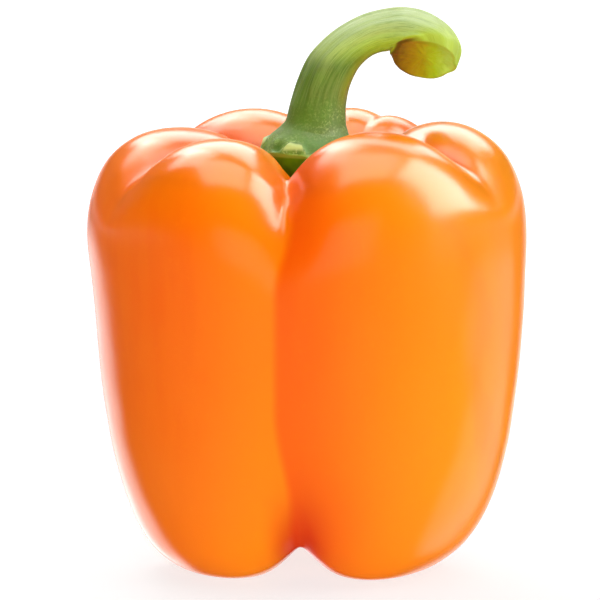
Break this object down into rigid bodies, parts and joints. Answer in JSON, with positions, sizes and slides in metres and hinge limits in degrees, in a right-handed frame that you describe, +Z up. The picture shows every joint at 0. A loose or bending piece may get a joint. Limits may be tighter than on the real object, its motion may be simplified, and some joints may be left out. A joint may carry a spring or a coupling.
{
  "type": "bell pepper",
  "caption": "Blocky three-lobed sweet pepper with a green calyx and a bent cut stem, standing on its lobes; food and kitchen dressing.",
  "frame": {"origin": "on the resting surface, under the middle of the pepper's box", "axes": "+Z up, -Y towards the deepest front furrow, +X the way the stem bends"},
  "size_m": [0.0856, 0.0828, 0.1101],
  "materials": {
    "pepper_skin": null,
    "green_calyx": null,
    "green_stem": null
  },
  "bodies": {
    "root": {"fruit": "pepper_skin", "calyx": "green_calyx", "stem": "green_stem"}
  },
  "joints": []
}
